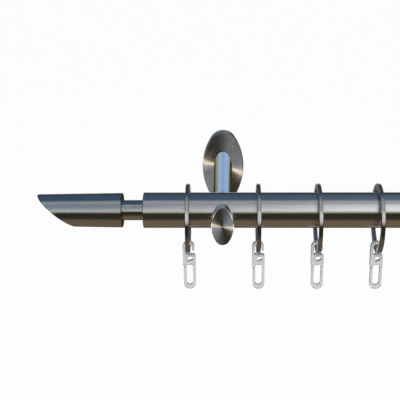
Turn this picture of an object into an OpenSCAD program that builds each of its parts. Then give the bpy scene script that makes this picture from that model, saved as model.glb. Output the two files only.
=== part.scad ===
// Curtain rod on two wall brackets, with slanted finials, rings and plastic curtain hooks.
// The origin is on the wall, midway between the brackets and level with the middle of their arms.
// X runs along the rod, -Y points into the room and Z points up.

/* [Tube] */
// Outer diameter of the tube
rod_d = 20; // [16:0.5:25]
// Wall thickness of the tube
rod_wall = 1; // [0.8:0.1:1.6]
// Length of the tube
rod_len = 600; // [500:10:2400]
// Chamfer round the outside of the tube's ends
rod_chamfer = 0.3; // [0.1:0.1:0.5]

/* [Bracket places] */
// Distance from the wall to the axis of the tube
rod_standoff = 90; // [70:1:130]
// Distance from each tube end to the middle of its bracket
bracket_inset = 44.4; // [36:0.1:70]
// Height of the tube's axis above the middle of the arm
rod_rise = 3.2; // [1:0.1:5]

/* [Arm] */
// Width of the oval arm
arm_w = 11.4; // [10.5:0.1:16]
// Height of the oval arm
arm_h = 21; // [19:0.5:26]
// Gap between the cradle and the tube
cradle_gap = 0.15; // [0.05:0.05:0.3]
// Thickness of the arm's collar between the cradle and the end cap
collar_t = 0.4; // [0.2:0.1:2]
// Length of the spigot that holds the end cap
spigot_len = 4.6; // [3:0.1:7]

/* [End cap] */
// How far the end cap stands out round the arm
cap_lip = 0.5; // [0.2:0.1:1]
// Thickness of the end cap's wall round the spigot
cap_wall = 1.2; // [0.8:0.1:2]
// Thickness of the end cap's front
cap_front = 2.2; // [1:0.1:4]
// Chamfer round the end cap's face
cap_chamfer = 0.45; // [0.2:0.05:0.8]
// Gap between the end cap and its spigot
cap_gap = 0.05; // [0.02:0.01:0.15]

/* [Rosette] */
// Width of the oval rosette
rosette_w = 26.6; // [23.6:0.1:40]
// Height of the oval rosette
rosette_h = 48.4; // [46:0.1:60]
// Thickness of the rosette at its rim
rosette_t = 7.2; // [6.5:0.1:10]
// Depth of the dished face next to the arm
rosette_dish = 2.5; // [1:0.1:3]
// Thickness of the rosette's sheet
rosette_wall = 1; // [0.6:0.1:1.4]
// Width of the flat edge round the dished face
rosette_edge = 0.9; // [0.4:0.1:2]
// Gap between the rosette and the arm
rosette_gap = 0.2; // [0.1:0.05:0.5]

/* [Wall plate] */
// Thickness of the wall plate
plate_t = 2.5; // [2:0.1:3]
// Gap between the wall plate and the inside of the rosette
plate_gap = 0.2; // [0.1:0.05:0.5]
// Distance between the two screw holes
screw_pitch = 31.6; // [30:0.1:33]
// Diameter of the screw holes
screw_hole_d = 4.2; // [3.5:0.1:4.5]
// Width of the oval boss that carries the arm
boss_w = 6.6; // [5.5:0.1:7.5]
// Height of the oval boss that carries the arm
boss_h = 14; // [12:0.5:14.5]
// Length of the boss
boss_len = 14; // [10:0.5:20]
// Gap between the boss and the arm's socket
boss_gap = 0.1; // [0.05:0.05:0.3]

/* [Grub screws] */
// Thread diameter of the grub screws
grub_d = 4; // [3:0.5:5]
// Length of the grub screws
grub_len = 4; // [3:0.5:5]
// Width across the flats of the hexagon socket
grub_key = 2; // [1.5:0.1:2.2]
// Depth of the hexagon socket
grub_key_depth = 1.6; // [1:0.1:2]
// Gap round the grub screws and the studs
thread_gap = 0.05; // [0.02:0.01:0.1]

/* [Finials] */
// Diameter of the finial at its base
finial_base_d = 19.5; // [14:0.1:24]
// Diameter of the finial at its tip
finial_tip_d = 18.1; // [13:0.1:24]
// Length of the finial's body from its base to its tip
finial_len = 47.8; // [35:0.1:80]
// Angle between the slanted end and the rod
finial_cut = 40; // [30:1:75]
// Chamfer round the finial's base
finial_chamfer = 0.3; // [0.1:0.1:0.8]
// Diameter of the neck
neck_d = 11.4; // [9:0.1:14]
// Length of the neck that shows
neck_len = 11.8; // [5:0.1:20]

/* [Tube plugs] */
// Length of the plug inside the tube
plug_len = 20; // [14:1:30]
// Gap between the plug's bands and the tube
plug_gap = 0.05; // [0.02:0.01:0.1]
// Depth of the grooves between the plug's bands
plug_groove = 0.5; // [0.2:0.1:1]
// Width of each groove
plug_groove_w = 4; // [2:0.5:5]
// Diameter of the stud between plug and finial
stud_d = 6; // [4:0.5:7]
// How far the stud goes into the plug
stud_in_plug = 14; // [8:1:18]
// How far the stud goes into the finial
stud_in_finial = 16; // [12:1:24]

/* [Rings] */
// Inner diameter of the rings
ring_id = 31; // [27:0.5:36]
// Width of the ring's band, measured along the radius
ring_band = 4.3; // [3:0.1:6]
// Thickness of the ring, measured along the rod
ring_t = 2.2; // [1.4:0.1:2.6]
// Gap between a hanging ring and the top of the tube
ring_gap = 0.3; // [0.2:0.05:0.5]
// Distance from the left bracket to the ring outside it
outer_ring_x = 19.5; // [14:0.5:30]
// Distance from a bracket to the first ring inside it
inner_ring_x = 20.1; // [14:0.1:30]
// Distance between the rings inside a bracket
ring_pitch = 33.6; // [15:0.1:34]

/* [Curtain hooks] */
// Clear width inside the upper hook
hook_slot_w = 3.6; // [3.2:0.1:4.4]
// Thickness of the hook's strokes
hook_stroke = 1.5; // [1:0.1:1.8]
// Gap between the upper hook and the ring that it hangs on
hook_play = 0.3; // [0.2:0.05:0.5]
// How far the hook's lip reaches below the middle of the ring's band
hook_lip = 1.7; // [0.8:0.1:2.2]
// How far the lip's end flares outwards
hook_flare = 0.5; // [0.2:0.1:0.8]
// Gap below the ring's band
hook_floor_gap = 1.8; // [1:0.1:2.5]
// Thickness of the bar below the ring
hook_bar = 1.3; // [1:0.1:2]
// Height of the small window
hook_window_h = 2.7; // [1.5:0.1:4]
// Width of the small window
hook_window_w = 2.9; // [2:0.1:3.5]
// How far the second bar rises to the right
hook_bar_rise = 1.1; // [0:0.1:1.5]
// Thickness of the second bar
hook_bar_low = 2.4; // [1.5:0.1:3.5]
// Clear width of the oval eye
eye_w = 3.8; // [3:0.1:6]
// Clear height of the oval eye
eye_h = 12.7; // [8:0.1:20]
// Thickness of the eye at its bottom
eye_foot = 2.5; // [1.5:0.1:3]
// Thickness of the eye, measured front to back
eye_t = 2.4; // [1.6:0.1:3]
// Thickness of the upper hook, measured front to back
hook_t = 3; // [2:0.1:4]
// Radius of the notch beside the eye
notch_r = 0.8; // [0.3:0.1:1]

/* [Hidden] */
$fn = 96;
eps = 0.01;
// Radius of an oval's two ends, as a share of its half width
oval_end = 0.66;

rod_r = rod_d / 2;
bracket_x = rod_len / 2 - bracket_inset;
cradle_r = rod_r + cradle_gap;
arm_front = rod_standoff + cradle_r + collar_t;
cap_w = arm_w + 2 * cap_lip;
cap_h = arm_h + 2 * cap_lip;
cap_back = arm_front + cap_gap;
cap_depth = spigot_len + cap_front;
pocket_w = cap_w - 2 * cap_wall;
pocket_h = cap_h - 2 * cap_wall;
socket_w = boss_w + 2 * boss_gap;
socket_h = boss_h + 2 * boss_gap;
grub_r = grub_d / 2;
arm_grub_y = rosette_t + grub_d;
plug_r = rod_r - rod_wall - plug_gap;
ring_r = ring_id / 2 + ring_band / 2;
ring_z = rod_rise + rod_r + ring_gap - ring_id / 2;
band_z = ring_z - ring_r;

// Ring places along the rod, from the left end to the right end
left_places = [
    -bracket_x - outer_ring_x,
    for (i = [0 : 2]) -bracket_x + inner_ring_x + i * ring_pitch
];
ring_places = concat(left_places, [for (i = [3 : -1 : 0]) -left_places[i]]);

// Sizes of the curtain hook, measured from the middle of the ring's band
slot_r = hook_slot_w / 2;
arch_z = ring_band / 2 + hook_play - slot_r;
arch_r = slot_r + hook_stroke;
bar_top = -ring_band / 2 - hook_floor_gap;
window_top = bar_top - hook_bar;
window_low = window_top - hook_window_h;
eye_top = window_low - hook_bar_low;
eye_r = eye_w / 2;
eye_low = eye_top - eye_h;
eye_x = -arch_r + hook_stroke + eye_r + notch_r / 2;
eye_out_r = eye_r + hook_stroke;
body_right = eye_x + eye_out_r;

// An oval of four arcs that run smoothly into each other, taller than it is wide
module oval(w, h) {
    half_w = w / 2;
    end_r = oval_end * half_w;
    end_y = h / 2 - end_r;
    slack = half_w - end_r;
    side_x = (end_y * end_y - slack * slack) / (2 * slack);
    side_r = half_w + side_x;
    join_y = side_r * end_y / norm([side_x, end_y]);
    intersection() {
        translate([-side_x, 0])
            circle(r = side_r);
        translate([side_x, 0])
            circle(r = side_r);
        square([2 * w, 2 * join_y], center = true);
    }
    for (s = [-1, 1])
        translate([0, s * end_y])
            circle(r = end_r);
}

// An oval bar between two distances from the wall
module oval_bar(w, h, from, to) {
    translate([0, -from, 0])
        rotate([90, 0, 0])
            linear_extrude(height = to - from)
                oval(w, h);
}

// An oval disc whose edge tapers inwards over the last part of its thickness
module oval_disc(w, h, from, to, inset, taper) {
    hull() {
        oval_bar(w, h, from, to - taper);
        oval_bar(w - 2 * inset, h - 2 * inset, from, to);
    }
}

// Places its child on the left bracket, or on the right one
module at_bracket(side) {
    translate([side * bracket_x, 0, 0])
        children();
}

module tube() {
    inner_r = rod_r - rod_wall;
    color("silver")
        translate([-rod_len / 2, -rod_standoff, rod_rise])
            rotate([90, 0, 90])
                rotate_extrude()
                    polygon([
                        [inner_r, 0], [rod_r - rod_chamfer, 0], [rod_r, rod_chamfer],
                        [rod_r, rod_len - rod_chamfer], [rod_r - rod_chamfer, rod_len],
                        [inner_r, rod_len]
                    ]);
}

module arm(side) {
    color("lightsteelblue")
        at_bracket(side)
            difference() {
                union() {
                    oval_bar(arm_w, arm_h, plate_t, arm_front);
                    oval_bar(pocket_w - 2 * cap_gap, pocket_h - 2 * cap_gap, arm_front - eps,
                        cap_back + spigot_len);
                }
                // Socket for the wall plate's boss
                oval_bar(socket_w, socket_h, plate_t - eps, plate_t + boss_len + boss_gap);
                // Cradle, round below the tube and open at the top
                translate([-arm_w, -rod_standoff, rod_rise])
                    rotate([0, 90, 0])
                        cylinder(r = cradle_r, h = 2 * arm_w);
                translate([-arm_w, -rod_standoff - cradle_r, rod_rise])
                    cube([2 * arm_w, 2 * cradle_r, arm_h]);
                // Threads for the grub screws
                for (y = [arm_grub_y, rod_standoff])
                    translate([0, -y, -arm_h])
                        cylinder(r = grub_r, h = arm_h);
            }
}

// The shallow funnel of the dished face, from its rim down to the arm, shifted back by an offset
module dish(rim_w, rim_h, offset) {
    hull() {
        oval_bar(rim_w, rim_h, rosette_t - offset, rosette_t - offset + eps);
        oval_bar(arm_w, arm_h, rosette_t - rosette_dish - offset, rosette_t);
    }
}

module rosette(side) {
    rim_w = rosette_w - 2 * rosette_edge;
    rim_h = rosette_h - 2 * rosette_edge;
    cavity_w = rosette_w - 2 * rosette_wall;
    cavity_h = rosette_h - 2 * rosette_wall;
    color("gray")
        at_bracket(side)
            difference() {
                oval_disc(rosette_w, rosette_h, 0, rosette_t, rosette_edge / 2, rosette_edge / 2);
                dish(rim_w, rim_h, 0);
                // Hollow back, whose floor follows the dished face
                difference() {
                    oval_bar(cavity_w, cavity_h, -eps, rosette_t - rosette_wall);
                    dish(rim_w, rim_h, rosette_wall);
                }
                oval_bar(arm_w + 2 * rosette_gap, arm_h + 2 * rosette_gap, -eps, rosette_t + eps);
            }
}

module wall_plate(side) {
    plate_inset = rosette_wall + plate_gap;
    color("dimgray")
        at_bracket(side)
            difference() {
                union() {
                    oval_bar(rosette_w - 2 * plate_inset, rosette_h - 2 * plate_inset, 0, plate_t);
                    oval_bar(boss_w, boss_h, plate_t - eps, plate_t + boss_len);
                }
                for (side_z = [-1, 1])
                    translate([0, eps, side_z * screw_pitch / 2])
                        rotate([90, 0, 0])
                            cylinder(d = screw_hole_d, h = plate_t + 2 * eps);
            }
}

module end_cap(side) {
    color("darkgray")
        at_bracket(side)
            difference() {
                oval_disc(cap_w, cap_h, cap_back, cap_back + cap_depth, cap_chamfer, cap_chamfer);
                oval_bar(pocket_w, pocket_h, cap_back - eps, cap_back + spigot_len);
            }
}

// One finial with its neck, standing on the tube's end and pointing along its own Z
module finial_body() {
    base_r = finial_base_d / 2;
    tip_r = finial_tip_d / 2;
    base_z = neck_len;
    tip_z = neck_len + finial_len;
    slant = finial_base_d + finial_len;
    difference() {
        rotate_extrude()
            polygon([
                [0, 0], [neck_d / 2, 0], [neck_d / 2, base_z],
                [base_r - finial_chamfer, base_z], [base_r, base_z + finial_chamfer],
                [tip_r, tip_z], [0, tip_z]
            ]);
        // Slanted end: its highest point is the tip and its lowest is below the rod
        translate([tip_r, 0, tip_z])
            rotate([0, finial_cut - 90, 0])
                translate([-slant * 2, -slant, 0])
                    cube([slant * 3, 2 * slant, slant * 2]);
        translate([0, 0, -eps])
            cylinder(r = stud_d / 2 + thread_gap, h = stud_in_finial + eps);
    }
}

// Stands its child on a tube end, with the child's Z pointing out of it and its X pointing up
module at_tube_end(side) {
    translate([side * rod_len / 2, -rod_standoff, rod_rise])
        rotate([0, side * 90, 0])
            rotate([0, 0, side > 0 ? 180 : 0])
                children();
}

module finial(side) {
    color("silver")
        at_tube_end(side)
            finial_body();
}

module tube_plug(side) {
    groove_r = plug_r - plug_groove;
    band = (plug_len - 2 * plug_groove_w) / 3;
    color("dimgray")
        at_tube_end(side)
            rotate([180, 0, 0])
                difference() {
                    rotate_extrude()
                        polygon([
                            [0, 0], [plug_r, 0], [plug_r, band], [groove_r, band],
                            [groove_r, band + plug_groove_w], [plug_r, band + plug_groove_w],
                            [plug_r, 2 * band + plug_groove_w], [groove_r, 2 * band + plug_groove_w],
                            [groove_r, plug_len - band], [plug_r, plug_len - band],
                            [plug_r, plug_len], [0, plug_len]
                        ]);
                    translate([0, 0, -eps])
                        cylinder(r = stud_d / 2 + thread_gap, h = stud_in_plug + eps);
                }
}

module finial_studs() {
    color("goldenrod")
        for (side = [-1, 1])
            at_tube_end(side)
                translate([0, 0, -stud_in_plug])
                    cylinder(d = stud_d, h = stud_in_plug + stud_in_finial);
}

// One grub screw with its tip at the origin, pointing up
module grub_screw() {
    r = grub_r - thread_gap;
    difference() {
        rotate_extrude()
            polygon([[0, -grub_len], [r, -grub_len], [r, -grub_r / 2], [grub_r / 2, 0], [0, 0]]);
        translate([0, 0, -grub_len - eps])
            cylinder(d = grub_key / cos(30), h = grub_key_depth + eps, $fn = 6);
    }
}

module grub_screws() {
    color("black")
        for (side = [-1, 1])
            at_bracket(side) {
                translate([0, -arm_grub_y, -boss_h / 2 - thread_gap])
                    grub_screw();
                translate([0, -rod_standoff, rod_rise - rod_r - thread_gap])
                    grub_screw();
            }
}

module ring(i) {
    color("slategray")
        translate([ring_places[i], -rod_standoff, ring_z])
            rotate([0, 90, 0])
                rotate_extrude()
                    translate([ring_r, 0]) {
                        square([ring_band - ring_t, ring_t], center = true);
                        for (s = [-1, 1])
                            translate([s * (ring_band - ring_t) / 2, 0])
                                circle(d = ring_t);
                    }
}

// Outline of the upper hook, with its stem on the left and its lip on the right
module hook_upper_outline() {
    difference() {
        translate([0, arch_z])
            circle(r = arch_r);
        translate([0, arch_z])
            circle(r = slot_r);
        translate([-2 * arch_r, arch_z - 2 * arch_r])
            square([4 * arch_r, 2 * arch_r]);
    }
    translate([-arch_r, eye_top])
        square([hook_stroke, arch_z - eye_top + eps]);
    polygon([
        [slot_r, arch_z + eps], [arch_r, arch_z + eps],
        [arch_r - hook_stroke / 4 + hook_flare / 2, -hook_lip + hook_stroke / 3],
        [slot_r + hook_stroke / 3 + hook_flare, -hook_lip],
        [slot_r + hook_flare, -hook_lip + hook_stroke / 3]
    ]);
}

// Outline of the two bars with the window between them
module hook_body_outline() {
    corner = hook_bar;
    difference() {
        union() {
            translate([-arch_r, eye_top - hook_stroke])
                square([arch_r + body_right, bar_top - corner - eye_top + hook_stroke]);
            translate([-arch_r, eye_top])
                square([arch_r + body_right - corner, bar_top - eye_top]);
            translate([body_right - corner, bar_top - corner])
                circle(r = corner);
        }
        polygon([
            [body_right - hook_stroke - hook_window_w, window_low - hook_bar_rise / 2],
            [body_right - hook_stroke, window_low + hook_bar_rise / 2],
            [body_right - hook_stroke, window_top],
            [body_right - hook_stroke - hook_window_w, window_top]
        ]);
    }
}

// Outline of the oval eye
module hook_eye_outline() {
    foot_z = eye_low + eye_r;
    union() {
        translate([eye_x - eye_out_r, foot_z])
            square([2 * eye_out_r, eye_top - hook_stroke - foot_z + eps]);
        translate([eye_x, foot_z])
            circle(r = eye_out_r);
        translate([eye_x, foot_z - eye_foot + hook_stroke])
            circle(r = eye_out_r);
    }
}

// Clear opening of the eye, with a rounded top
module eye_opening_outline() {
    corner = eye_r / 2;
    translate([eye_x, eye_low + eye_r])
        circle(r = eye_r);
    translate([eye_x - eye_r, eye_low + eye_r])
        square([2 * eye_r, eye_h - eye_r - corner]);
    translate([eye_x - eye_r + corner, eye_low + eye_r])
        square([2 * (eye_r - corner), eye_h - eye_r]);
    for (s = [-1, 1])
        translate([eye_x + s * (eye_r - corner), eye_top - corner])
            circle(r = corner);
}

// A flat piece of the hook, standing in the plane of the rod
module hook_slab(t) {
    rotate([90, 0, 0])
        linear_extrude(height = t, center = true)
            children();
}

module curtain_hook(i) {
    color("whitesmoke")
        translate([ring_places[i], -rod_standoff, band_z])
            difference() {
                union() {
                    hook_slab(hook_t) {
                        hook_upper_outline();
                        hook_body_outline();
                    }
                    hook_slab(eye_t)
                        hook_eye_outline();
                }
                hook_slab(2 * hook_t)
                    eye_opening_outline();
                // Notch where the stem meets the eye
                hook_slab(2 * hook_t)
                    translate([-arch_r, eye_top - hook_stroke])
                        circle(r = notch_r);
            }
}

tube();
arm(-1);  // arm_left
arm(1);  // arm_right
rosette(-1);  // rosette_left
rosette(1);  // rosette_right
wall_plate(-1);  // wall_plate_left
wall_plate(1);  // wall_plate_right
end_cap(-1);  // end_cap_left
end_cap(1);  // end_cap_right
finial(-1);  // finial_left
finial(1);  // finial_right
tube_plug(-1);  // tube_plug_left
tube_plug(1);  // tube_plug_right
finial_studs();
grub_screws();
ring(0);  // ring_1
ring(1);  // ring_2
ring(2);  // ring_3
ring(3);  // ring_4
ring(4);  // ring_5
ring(5);  // ring_6
ring(6);  // ring_7
ring(7);  // ring_8
curtain_hook(0);  // curtain_hook_1
curtain_hook(1);  // curtain_hook_2
curtain_hook(2);  // curtain_hook_3
curtain_hook(3);  // curtain_hook_4
curtain_hook(4);  // curtain_hook_5
curtain_hook(5);  // curtain_hook_6
curtain_hook(6);  // curtain_hook_7
curtain_hook(7);  // curtain_hook_8
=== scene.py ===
"""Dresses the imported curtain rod: finishes, turned pieces, flat rings, moulded hooks, studio and camera."""
import logging
import math
from dataclasses import dataclass
from enum import Enum
from typing import Iterable, Sequence

import bmesh
import bpy
from mathutils import Matrix, Vector


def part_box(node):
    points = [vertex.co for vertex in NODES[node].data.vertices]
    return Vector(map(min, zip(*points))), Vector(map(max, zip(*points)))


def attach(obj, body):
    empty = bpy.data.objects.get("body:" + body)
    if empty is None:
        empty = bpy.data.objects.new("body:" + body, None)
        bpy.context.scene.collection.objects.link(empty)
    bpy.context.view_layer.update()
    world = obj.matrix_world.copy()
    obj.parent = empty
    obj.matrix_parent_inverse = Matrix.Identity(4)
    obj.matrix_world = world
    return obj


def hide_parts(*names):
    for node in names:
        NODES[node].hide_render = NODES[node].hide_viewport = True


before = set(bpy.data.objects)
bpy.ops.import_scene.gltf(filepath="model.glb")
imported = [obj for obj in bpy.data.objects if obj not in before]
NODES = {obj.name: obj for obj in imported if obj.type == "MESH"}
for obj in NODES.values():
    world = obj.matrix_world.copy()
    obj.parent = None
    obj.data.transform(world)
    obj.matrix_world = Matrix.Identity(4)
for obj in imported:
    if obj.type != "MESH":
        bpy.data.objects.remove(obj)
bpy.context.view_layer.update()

LOG = logging.getLogger("curtain_rod")
MM = 0.001
SIDES = ("left", "right")
RING_COUNT = 8
# Width of a ring's band, from its inner to its outer edge
RING_BAND = 4.3 * MM
# Radius of an oval's two ends, as a share of its half width
OVAL_END = 0.66
# Corners that turn by more than this stay sharp in a turned piece
SHARP = math.radians(35)
# Depth in metres of fine brushed lines and of a rough plated surface
FINE = 0.0000004
ROUGH = 0.00001
WHITE = (1.0, 1.0, 1.0)
# A full turn in degrees
TURN = 360.0

Socket = bpy.types.NodeSocket
Triple = tuple[float, float, float]


class Around(Enum):
    """The axis that a turned or drawn surface runs round."""

    ROD = "X"
    ARM = "Y"
    UPRIGHT = "Z"


class Tone(Enum):
    """The tones of the surroundings that the metal mirrors, in linear light."""

    SHADE = (0.04, 0.04, 0.025)
    MOSS = (0.11, 0.11, 0.10)
    UMBER = (0.21, 0.155, 0.105)
    SLATE = (0.24, 0.27, 0.30)
    OLIVE = (0.40, 0.39, 0.27)
    STONE = (0.32, 0.33, 0.34)
    STEEL = (0.26, 0.36, 0.44)
    HAZE = (0.42, 0.44, 0.48)
    PALE = (0.70, 0.70, 0.66)
    WARM = (0.62, 0.57, 0.50)
    CREAM = (1.9, 1.65, 1.2)
    GLARE = (1.3, 1.27, 1.28)
    DUSK = (0.07, 0.12, 0.20)
    SKY_EDGE = (0.42, 0.56, 0.76)
    SKY = (0.34, 0.56, 0.98)
    DEEP_SKY = (0.28, 0.49, 0.77)


# Pairs of angle in degrees and tone
Stripes = tuple[tuple[float, Tone], ...]


class Graph:
    """Adds nodes to one node tree and links them."""

    def __init__(self, tree: bpy.types.NodeTree) -> None:
        """Keeps the tree and empties it.

        Args:
            tree: The node tree of a material, world or group.
        """
        self.tree = tree
        tree.nodes.clear()

    def feed(self, slot: Socket, value: object) -> None:
        """Links an input to a socket, or sets its value.

        Args:
            slot: The input.
            value: The socket, or a number, a triple or a colour with its opacity.
        """
        if isinstance(value, Socket):
            self.tree.links.new(value, slot)
        else:
            slot.default_value = value

    def add(
        self, kind: str, inputs: dict[int | str, object] | None = None, **settings: object
    ) -> bpy.types.Node:
        """Adds a node.

        Args:
            kind: Blender's name of the node type.
            inputs: What feeds each input, by the input's place or name.
            **settings: Properties to set on the node.

        Returns:
            The new node.
        """
        node = self.tree.nodes.new(kind)
        for name, value in settings.items():
            setattr(node, name, value)
        for slot, value in (inputs or {}).items():
            self.feed(node.inputs[slot], value)
        return node

    def math(self, operation: str, *values: object) -> Socket:
        """Adds a math node for numbers or sockets, and gives its result."""
        return self.add("ShaderNodeMath", dict(enumerate(values)), operation=operation).outputs[0]

    def vector_math(self, operation: str, *values: object) -> Socket:
        """Adds a vector math node for triples or sockets, and gives its result."""
        node = self.add("ShaderNodeVectorMath", dict(enumerate(values)), operation=operation)
        return node.outputs["Value" if operation in ("LENGTH", "DOT_PRODUCT") else "Vector"]

    def split(self, vector: Socket) -> bpy.types.bpy_prop_collection:
        """Adds a node that splits a vector, and gives its parts by the names X, Y and Z."""
        return self.add("ShaderNodeSeparateXYZ", {0: vector}).outputs

    def mean(self, first: Socket, second: Socket, share: float) -> Socket:
        """Adds the mean of two numbers, in which the second one has the given share."""
        rest = self.math("MULTIPLY", first, 1.0 - share)
        return self.math("ADD", rest, self.math("MULTIPLY", second, share))

    def rise(self, value: Socket, start: float, end: float, way: str = "LINEAR") -> Socket:
        """Adds a value that rises from 0 at the start to 1 at the end."""
        inputs = {"Value": value, "From Min": start, "From Max": end}
        return self.add("ShaderNodeMapRange", inputs, interpolation_type=way).outputs[0]

    def noise(self, inputs: dict[int | str, object], dimensions: str = "3D") -> Socket:
        """Adds a noise texture, and gives its value."""
        return self.add("ShaderNodeTexNoise", inputs, noise_dimensions=dimensions).outputs[0]

    def blend(self, share: Socket, first: object, second: object, **settings: object) -> Socket:
        """Adds a blend of two colours.

        Args:
            share: The second colour's share.
            first: The first colour, as a triple or a socket.
            second: The second colour, likewise.
            **settings: Properties to set on the node.

        Returns:
            The blended colour.
        """
        pair = [colour if isinstance(colour, Socket) else (*colour, 1.0) for colour in (first, second)]
        mix = self.add("ShaderNodeMix", {0: share, 6: pair[0], 7: pair[1]}, data_type="RGBA", **settings)
        return mix.outputs[2]


def new_group(
    name: str, inputs: Sequence[tuple[str, str]], outputs: Sequence[tuple[str, str]]
) -> tuple[bpy.types.NodeTree, Graph, bpy.types.Node, bpy.types.Node]:
    """Starts a shader node group.

    Args:
        name: Name of the group.
        inputs: Pairs of socket name and kind, for its inputs.
        outputs: Pairs of socket name and kind, for its outputs.

    Returns:
        The group's tree, its graph, its input node and its output node.
    """
    tree = bpy.data.node_groups.new(name, "ShaderNodeTree")
    graph = Graph(tree)
    for way, sockets in (("INPUT", inputs), ("OUTPUT", outputs)):
        for label, kind in sockets:
            tree.interface.new_socket(name=label, in_out=way, socket_type=f"NodeSocket{kind}")
    return tree, graph, graph.add("NodeGroupInput"), graph.add("NodeGroupOutput")


def brushed_lines(broad_scale: float = 0.12, broad_share: float = 0.4) -> bpy.types.NodeTree:
    """Builds the group for fine straight lines left by a brushing belt.

    Args:
        broad_scale: Fineness of the broad lines, as a share of the fine ones'.
        broad_share: Share of the broad lines in the tone.

    Returns:
        A group with inputs Position, Stretch and Fineness, and outputs Height and Tone.
    """
    inputs = [("Position", "Vector"), ("Stretch", "Vector"), ("Fineness", "Float")]
    outputs = [("Height", "Float"), ("Tone", "Float")]
    tree, graph, entry, leave = new_group("brushed_lines", inputs, outputs)
    stretched = graph.vector_math("MULTIPLY", entry.outputs["Position"], entry.outputs["Stretch"])
    fineness = entry.outputs["Fineness"]
    fine = graph.noise({"Vector": stretched, "Scale": fineness, "Detail": 3.0, "Roughness": 0.65})
    broad_fineness = graph.math("MULTIPLY", fineness, broad_scale)
    broad = graph.noise({"Vector": stretched, "Scale": broad_fineness, "Detail": 2.0})
    graph.feed(leave.inputs["Height"], fine)
    graph.feed(leave.inputs["Tone"], graph.mean(fine, broad, broad_share))
    return tree


def turned_rings(
    broad_scale: float = 0.15, broad_share: float = 0.5, least_lean: float = 0.1
) -> bpy.types.NodeTree:
    """Builds the group for the fine rings that a lathe tool leaves on a face.

    Each ring's flank leans the surface inwards or outwards along the radius, and never round it.

    Args:
        broad_scale: Fineness of the broad rings, as a share of the fine ones'.
        broad_share: Share of the broad rings in the tone.
        least_lean: Least lean of a flank, at a slope of 1.

    Returns:
        A group with inputs Position, Facing, Centre, Fineness and Slope, and outputs Tone and Normal.
    """
    inputs = [(name, "Vector") for name in ("Position", "Facing", "Centre")]
    inputs += [(name, "Float") for name in ("Fineness", "Slope")]
    outputs = [("Tone", "Float"), ("Normal", "Vector")]
    tree, graph, entry, leave = new_group("turned_rings", inputs, outputs)
    offset = graph.vector_math("SUBTRACT", entry.outputs["Position"], entry.outputs["Centre"])
    flat = graph.vector_math("MULTIPLY", offset, (1.0, 0.0, 1.0))
    radius = graph.vector_math("LENGTH", flat)
    fineness = entry.outputs["Fineness"]
    fine = graph.noise({"W": radius, "Scale": fineness, "Detail": 2.0}, "1D")
    broad = graph.noise({"W": radius, "Scale": graph.math("MULTIPLY", fineness, broad_scale)}, "1D")
    graph.feed(leave.inputs["Tone"], graph.mean(fine, broad, broad_share))
    spread = graph.math("SUBTRACT", fine, 0.5)
    flank = graph.math("MULTIPLY", graph.math("SIGN", spread), least_lean)
    lean = graph.math("MULTIPLY", graph.math("ADD", spread, flank), entry.outputs["Slope"])
    outward = graph.vector_math("NORMALIZE", flat)
    dished = graph.vector_math("DOT_PRODUCT", entry.outputs["Facing"], outward)
    scaled = {0: outward, "Scale": graph.math("ADD", lean, dished)}
    sideways = graph.add("ShaderNodeVectorMath", scaled, operation="SCALE").outputs[0]
    forward = graph.vector_math("MULTIPLY", entry.outputs["Facing"], (0.0, 1.0, 0.0))
    leaning = graph.vector_math("ADD", forward, sideways)
    graph.feed(leave.inputs["Normal"], graph.vector_math("NORMALIZE", leaning))
    return tree


def handling_marks(faint: float = 0.35, full: float = 0.7) -> bpy.types.NodeTree:
    """Builds the group for faint cloudy marks from handling.

    Args:
        faint: Value of the clouds at which a mark begins to show.
        full: Value of the clouds at which it shows fully.

    Returns:
        A group with inputs Position and Size, and output Amount.
    """
    inputs = [("Position", "Vector"), ("Size", "Float")]
    tree, graph, entry, leave = new_group("handling_marks", inputs, [("Amount", "Float")])
    scale = graph.math("DIVIDE", 1.0, entry.outputs["Size"])
    clouds = {"Vector": entry.outputs["Position"], "Scale": scale, "Detail": 4.0, "Roughness": 0.55}
    graph.feed(leave.inputs["Amount"], graph.rise(graph.noise(clouds), faint, full))
    return tree


@dataclass(frozen=True)
class Effects:
    """The node groups that several finishes share."""

    brushed: bpy.types.NodeTree
    turned: bpy.types.NodeTree
    marks: bpy.types.NodeTree

    @classmethod
    def build(cls) -> "Effects":
        """Builds each group once."""
        return cls(brushed_lines(), turned_rings(), handling_marks())


def new_material(name: str) -> tuple[bpy.types.Material, Graph]:
    """Starts a material.

    Args:
        name: Its name.

    Returns:
        The material and its empty graph.
    """
    material = bpy.data.materials.new(name)
    material.use_nodes = True
    return material, Graph(material.node_tree)


class Surface:
    """A material in the making, with what its nodes need to know of the surface."""

    def __init__(self, name: str, effects: Effects) -> None:
        """Starts the material.

        Args:
            name: Its name.
            effects: The shared node groups.
        """
        self.effects = effects
        self.material, self.graph = new_material(name)
        self.place = self.graph.add("ShaderNodeTexCoord").outputs["Object"]

    def facing(self) -> Socket:
        """Gives the direction in which the surface faces."""
        return self.graph.add("ShaderNodeNewGeometry").outputs["Normal"]

    def marks(self, size: float) -> Socket:
        """Places handling marks of a size in metres, and gives their amount."""
        inputs = {"Position": self.place, "Size": size}
        return self.graph.add("ShaderNodeGroup", inputs, node_tree=self.effects.marks).outputs[0]

    def finish(self, shader: dict[int | str, object]) -> bpy.types.Material:
        """Covers the surface with the Principled shader.

        Args:
            shader: What feeds each of its inputs.

        Returns:
            The finished material.
        """
        principled = self.graph.add("ShaderNodeBsdfPrincipled", shader)
        self.graph.add("ShaderNodeOutputMaterial", {"Surface": principled.outputs[0]})
        return self.material


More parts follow.
